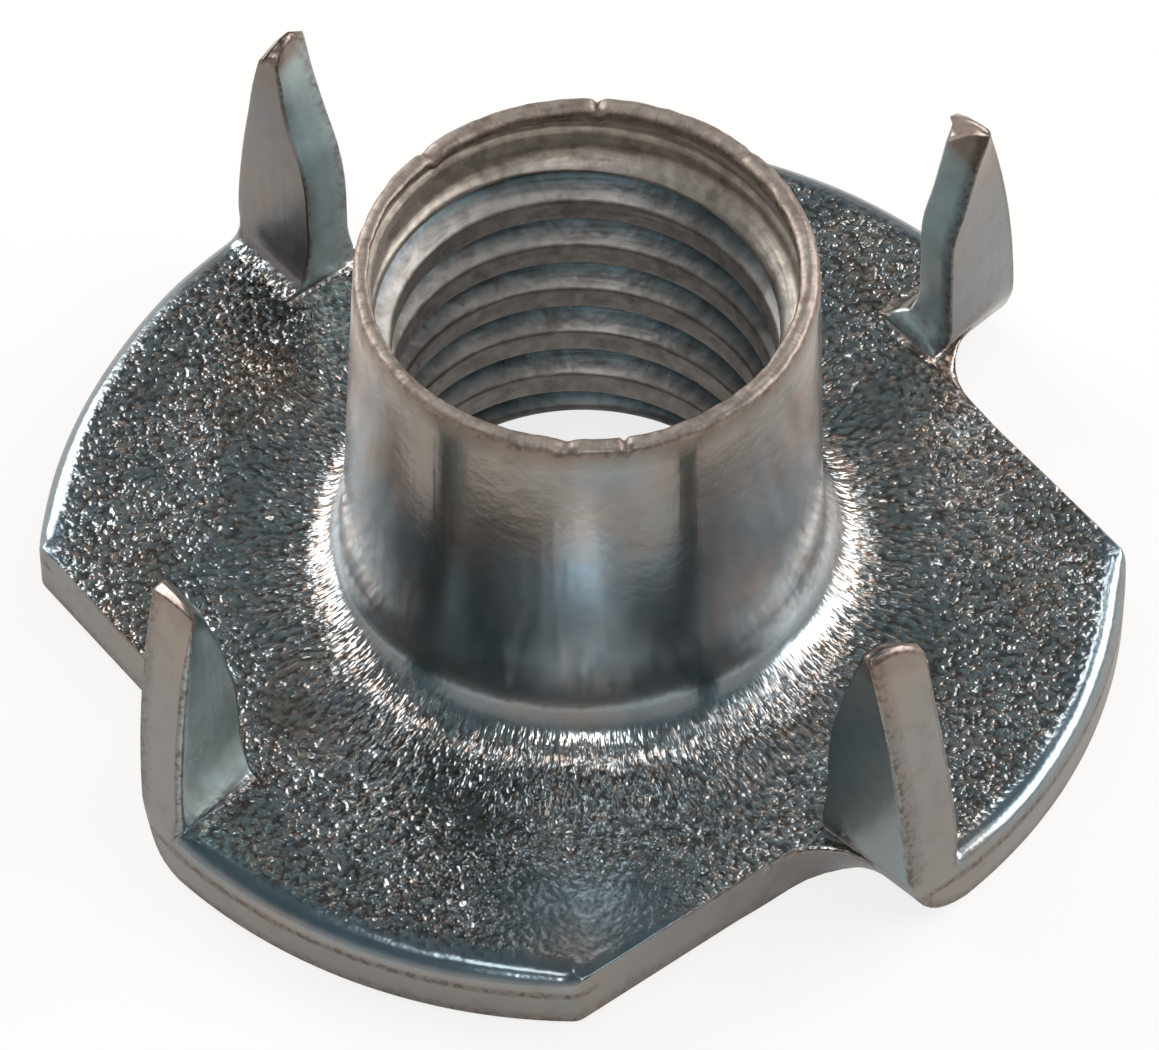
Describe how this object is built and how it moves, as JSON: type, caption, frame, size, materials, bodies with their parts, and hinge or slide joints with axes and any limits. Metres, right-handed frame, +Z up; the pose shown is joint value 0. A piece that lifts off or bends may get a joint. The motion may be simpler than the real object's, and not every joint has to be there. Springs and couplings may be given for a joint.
{
  "type": "tee nut",
  "caption": "Pronged tee nut: a drawn, internally threaded barrel on a flat pinwheel flange whose folded prongs bite into wood.",
  "frame": {"origin": "centre of the flange's underside, on the bore's axis", "axes": "+Z up the barrel towards its rim; the four prongs are folded up along +X, +Y, -X and -Y"},
  "size_m": [0.02, 0.02, 0.0089],
  "materials": {
    "zinc_plated_steel": "bright zinc plate with a clear blue passivation, satin on the drawn barrel and grainy on the flange"
  },
  "bodies": {
    "root": {"tee_nut": "zinc_plated_steel"}
  },
  "joints": []
}
